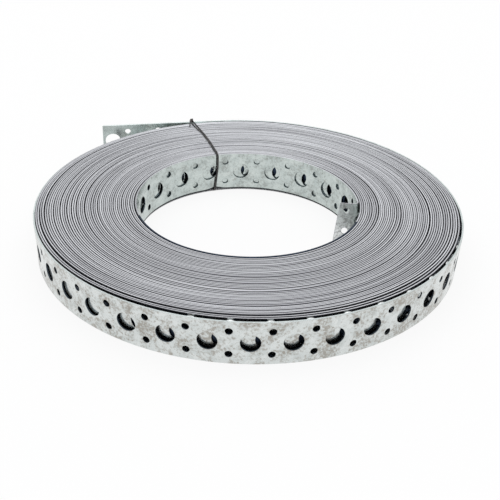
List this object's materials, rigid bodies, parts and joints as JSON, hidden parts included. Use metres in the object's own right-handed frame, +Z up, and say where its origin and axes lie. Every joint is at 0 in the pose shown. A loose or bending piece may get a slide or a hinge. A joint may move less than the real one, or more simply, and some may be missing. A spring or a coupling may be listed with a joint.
{
  "type": "coil of perforated steel strap",
  "caption": "Flat coil of galvanised perforated fixing strap with large and small holes, a straight outer end, a bent inner end and a twisted tie wire.",
  "frame": {"origin": "on the coil's axis, level with the floor it lies on", "axes": "+Z up along the coil's axis, X along the straight outer end, which points to -X on the +Y side"},
  "size_m": [0.1955, 0.1982, 0.024],
  "materials": {
    "zinc_strip": "galvanised, spangled and lightly stained",
    "annealed_wire": "black annealed, dull"
  },
  "bodies": {
    "root": {"strap": "zinc_strip", "tie_wire": "annealed_wire"}
  },
  "joints": []
}
